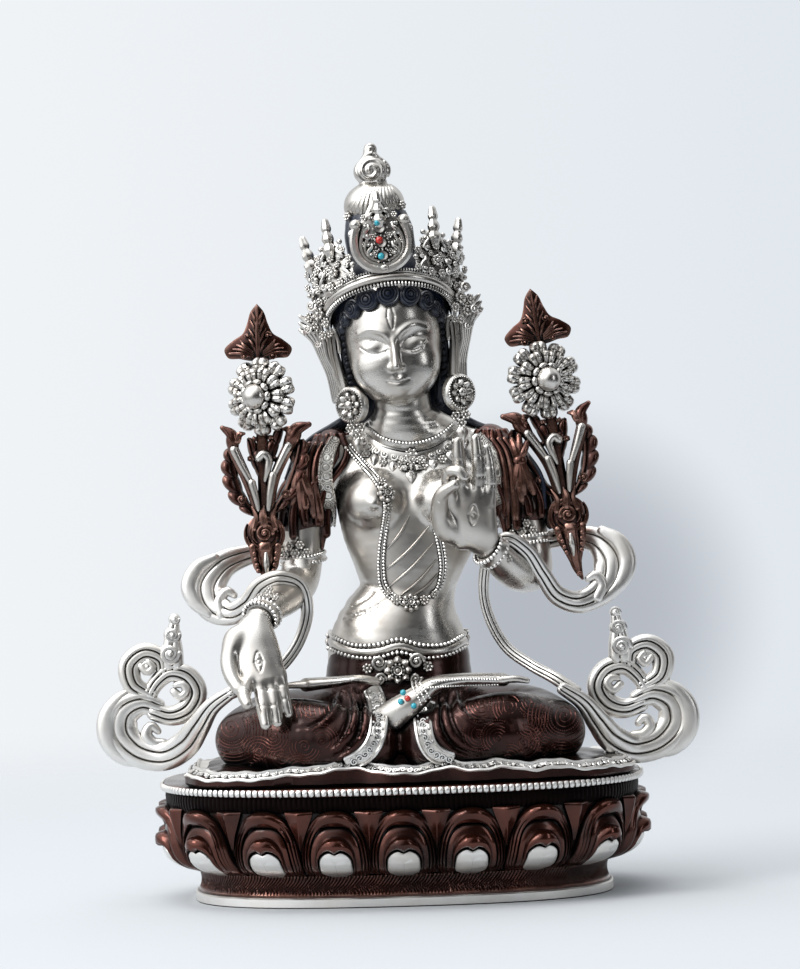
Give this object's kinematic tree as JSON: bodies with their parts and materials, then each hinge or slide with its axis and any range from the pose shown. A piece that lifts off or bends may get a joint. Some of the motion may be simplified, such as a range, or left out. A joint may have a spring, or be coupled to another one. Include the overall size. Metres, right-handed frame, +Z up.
{
  "type": "tara figure",
  "caption": "Seated Tara in silvered and dark oxidised copper with crown, flower sprays and scarves, cross-legged on an oval lotus plinth.",
  "frame": {"origin": "middle of the plinth's underside", "axes": "+Z up from the plinth through the crown, -Y towards the viewer in front, +X to the viewer's right"},
  "size_m": [0.2672, 0.1548, 0.33],
  "materials": {
    "silver": "silver plate, burnished on the high parts and darkened in the recesses",
    "copper": "dark red-brown oxidised copper, satin, near black in the recesses",
    "hair_paint": "blue-black paint on the hair, rubbed through to copper on the highest strands",
    "turquoise": "polished turquoise cabochon",
    "coral": "polished coral cabochon"
  },
  "bodies": {
    "root": {"lotus_plinth": "copper", "seated_figure": "silver", "crown": "silver", "ear_ornament_left": "silver", "ear_ornament_right": "silver", "flower_spray_left": "copper", "flower_spray_right": "copper", "scarf_left": "silver", "scarf_right": "silver", "crown_stone_upper": "turquoise", "crown_stone_middle": "coral", "crown_stone_lower": "turquoise", "anklet_stone_top": "turquoise", "anklet_stone_left": "turquoise", "anklet_stone_right": "turquoise", "anklet_stone_middle": "coral"}
  },
  "joints": []
}
